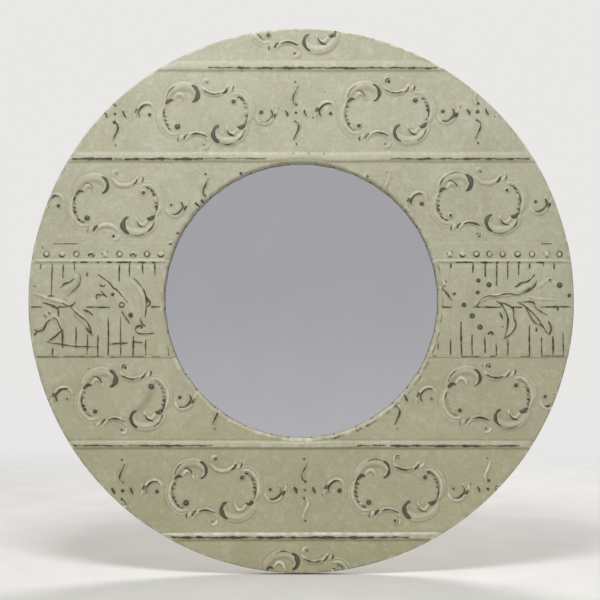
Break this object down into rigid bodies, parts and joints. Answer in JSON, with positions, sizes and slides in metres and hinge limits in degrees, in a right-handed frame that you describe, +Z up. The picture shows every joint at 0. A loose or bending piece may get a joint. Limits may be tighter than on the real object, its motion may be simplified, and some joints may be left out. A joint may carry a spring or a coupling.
{
  "type": "round wall mirror",
  "caption": "Round wall mirror set deep in a broad flat frame of pressed, painted and worn tin wrapped over plywood, hung by swinging D-rings.",
  "frame": {"origin": "middle of the disc, on the wall plane that the bumpers touch", "axes": "+X to the viewer's right, +Z up, +Y into the wall; the mirror faces -Y"},
  "size_m": [0.914, 0.0417, 0.9128],
  "materials": {
    "tin": "old chalky cream and olive paint, rubbed to dark metal on the raised pattern",
    "plywood": "plain sanded plywood, seen only from behind",
    "mirror": "flat silvered glass, painted grey on its back",
    "hardboard": "brown hardboard, smooth side out",
    "steel": "zinc-plated steel",
    "rubber": "black rubber"
  },
  "bodies": {
    "frame": {"ring_board": "plywood", "rear_ring": "plywood", "tin_upper_sheet": "tin", "tin_lower_sheet": "tin", "tin_frieze_left": "tin", "tin_frieze_right": "tin", "mirror_glass": "mirror", "mirror_backing": "hardboard", "mirror_clip_1": "steel", "mirror_clip_2": "steel", "mirror_clip_3": "steel", "mirror_clip_4": "steel", "mirror_clip_5": "steel", "mirror_clip_6": "steel", "hanger_strap_left": "steel", "hanger_strap_right": "steel", "wall_bumper_left": "rubber", "wall_bumper_right": "rubber"},
    "hanger_ring_left": {"hanger_ring_left": "steel"},
    "hanger_ring_right": {"hanger_ring_right": "steel"}
  },
  "joints": [
    {"name": "hanger_ring_left_swing", "type": "hinge", "parent": "frame", "child": "hanger_ring_left", "pos_m": [-0.30014, -0.005, 0.21807], "axis": [-1, 0, 0], "range_deg": [-3, 180]},
    {"name": "hanger_ring_right_swing", "type": "hinge", "parent": "frame", "child": "hanger_ring_right", "pos_m": [0.30014, -0.005, 0.21807], "axis": [-1, 0, 0], "range_deg": [-3, 180]}
  ]
}
